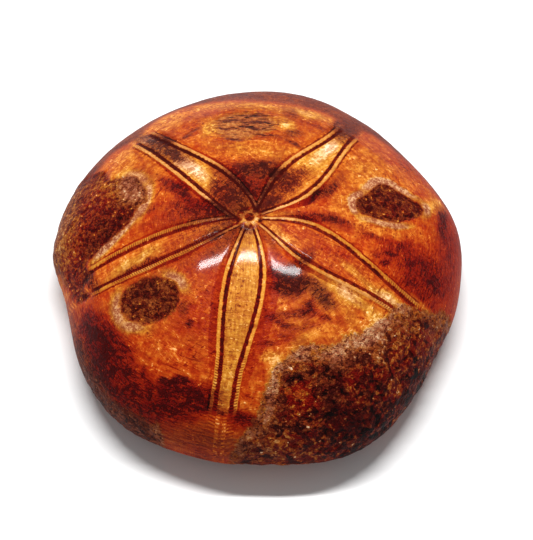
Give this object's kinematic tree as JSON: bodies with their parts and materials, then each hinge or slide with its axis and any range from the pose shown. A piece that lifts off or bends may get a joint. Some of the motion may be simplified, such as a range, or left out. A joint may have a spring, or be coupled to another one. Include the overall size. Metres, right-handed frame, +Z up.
{
  "type": "fossil sand dollar",
  "caption": "Polished fossil sand dollar: a domed stony test with a five-petal star on top, rough bare patches, and a flat-standing underside.",
  "frame": {"origin": "middle of the bounding box's bottom, on the surface that the fossil stands on", "axes": "+Z up through the star side of the dome; the front petal points along -Y; the rear margin with the vent is at +Y"},
  "size_m": [0.0798, 0.081, 0.031],
  "materials": {
    "polished_calcite": "hand-polished amber calcite with rough dark stone filling in bare patches"
  },
  "bodies": {
    "root": {"sand_dollar": "polished_calcite"}
  },
  "joints": []
}
